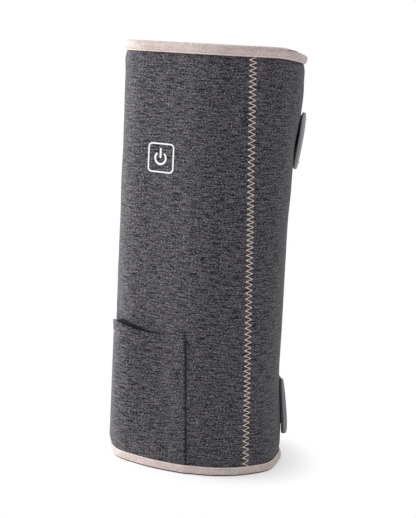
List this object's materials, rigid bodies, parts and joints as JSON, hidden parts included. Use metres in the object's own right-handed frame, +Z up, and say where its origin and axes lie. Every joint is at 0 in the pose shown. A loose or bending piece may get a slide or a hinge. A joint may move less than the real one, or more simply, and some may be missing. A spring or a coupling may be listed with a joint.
{
  "type": "heated knee brace",
  "caption": "Padded knit sleeve that wraps the knee, closes at the back with strapped overlapping wings, and has a heating controller, power button and power bank pocket.",
  "frame": {"origin": "centre of the bounding box at the height of the table that the lower binding stands on", "axes": "+Z up along the leg, -Y out of the flat front face with the power button, +X to the right when looking at that face"},
  "size_m": [0.1329, 0.1172, 0.32],
  "materials": {
    "charcoal_knit": "brushed heather knit",
    "foam": "open foam",
    "plush_lining": "short plush",
    "binding_tape": "brushed tape",
    "grey_webbing": "woven",
    "grey_grip": "matt",
    "hook_tape": "hook tape",
    "loop_tape": "loop tape",
    "black_plastic": "fine satin",
    "black_cable": "matt",
    "circuit_board": "solder mask",
    "switch_metal": "brushed",
    "clear_plastic": "clear lens",
    "felt": "felt",
    "heating_wire": "sheathed carbon fibre",
    "red_wire": "wire sheath",
    "white_print": "raised print"
  },
  "bodies": {
    "front": {"front_outer_panel": "charcoal_knit", "front_foam": "foam", "front_lining": "plush_lining", "front_top_binding": "binding_tape", "front_bottom_binding": "binding_tape", "pocket_panel": "charcoal_knit", "cable_gland": "black_plastic", "supply_lead": "black_cable", "controller_base": "black_plastic", "controller_cover": "black_plastic", "controller_board": "circuit_board", "tact_switch": "switch_metal", "status_leds": "clear_plastic", "heater_carrier": "felt", "heating_wire": "heating_wire", "heater_leads": "red_wire", "thermal_cutout": "switch_metal"},
    "power_button": {"button_cap": "charcoal_knit", "button_outline": "white_print", "switch_plunger": "black_plastic"},
    "inner_wing": {"inner_wing_panel": "charcoal_knit", "inner_wing_foam": "foam", "inner_wing_lining": "plush_lining", "inner_wing_top_binding": "binding_tape", "inner_wing_bottom_binding": "binding_tape", "inner_wing_end_binding": "binding_tape", "inner_wing_loop_strip": "loop_tape"},
    "outer_wing": {"outer_wing_panel": "charcoal_knit", "outer_wing_foam": "foam", "outer_wing_lining": "plush_lining", "outer_wing_top_binding": "binding_tape", "outer_wing_bottom_binding": "binding_tape", "outer_wing_end_binding": "binding_tape", "outer_wing_hook_strip": "hook_tape", "upper_strap_root": "grey_webbing", "lower_strap_root": "grey_webbing"},
    "upper_strap": {"upper_strap_webbing": "grey_webbing", "upper_strap_hook_pad": "hook_tape", "upper_strap_tip": "grey_grip"},
    "lower_strap": {"lower_strap_webbing": "grey_webbing", "lower_strap_hook_pad": "hook_tape", "lower_strap_tip": "grey_grip"}
  },
  "joints": [
    {"name": "outer_wing_fold", "type": "hinge", "parent": "front", "child": "outer_wing", "pos_m": [-0.06521, -0.01167, 0.16], "axis": [0, 0, 1], "range_deg": [0, 100]},
    {"name": "inner_wing_fold", "type": "hinge", "parent": "front", "child": "inner_wing", "pos_m": [0.04946, -0.03027, 0.16], "axis": [0.0296, 0.0309, -0.9991], "range_deg": [0, 25]},
    {"name": "upper_strap_peel", "type": "hinge", "parent": "outer_wing", "child": "upper_strap", "pos_m": [0.02479, 0.05763, 0.2525], "axis": [0, 0, 1], "range_deg": [0, 150]},
    {"name": "lower_strap_peel", "type": "hinge", "parent": "outer_wing", "child": "lower_strap", "pos_m": [0.02479, 0.05763, 0.043], "axis": [0, 0, 1], "range_deg": [0, 150]},
    {"name": "power_button_press", "type": "slide", "parent": "front", "child": "power_button", "axis": [0, 1, 0], "range_m": [0, 0.0006], "stiffness_N_per_m": 1500}
  ],
  "couplings": [
    {"joint": "inner_wing_fold", "follows": "outer_wing_fold", "ratio": 0.25}
  ]
}
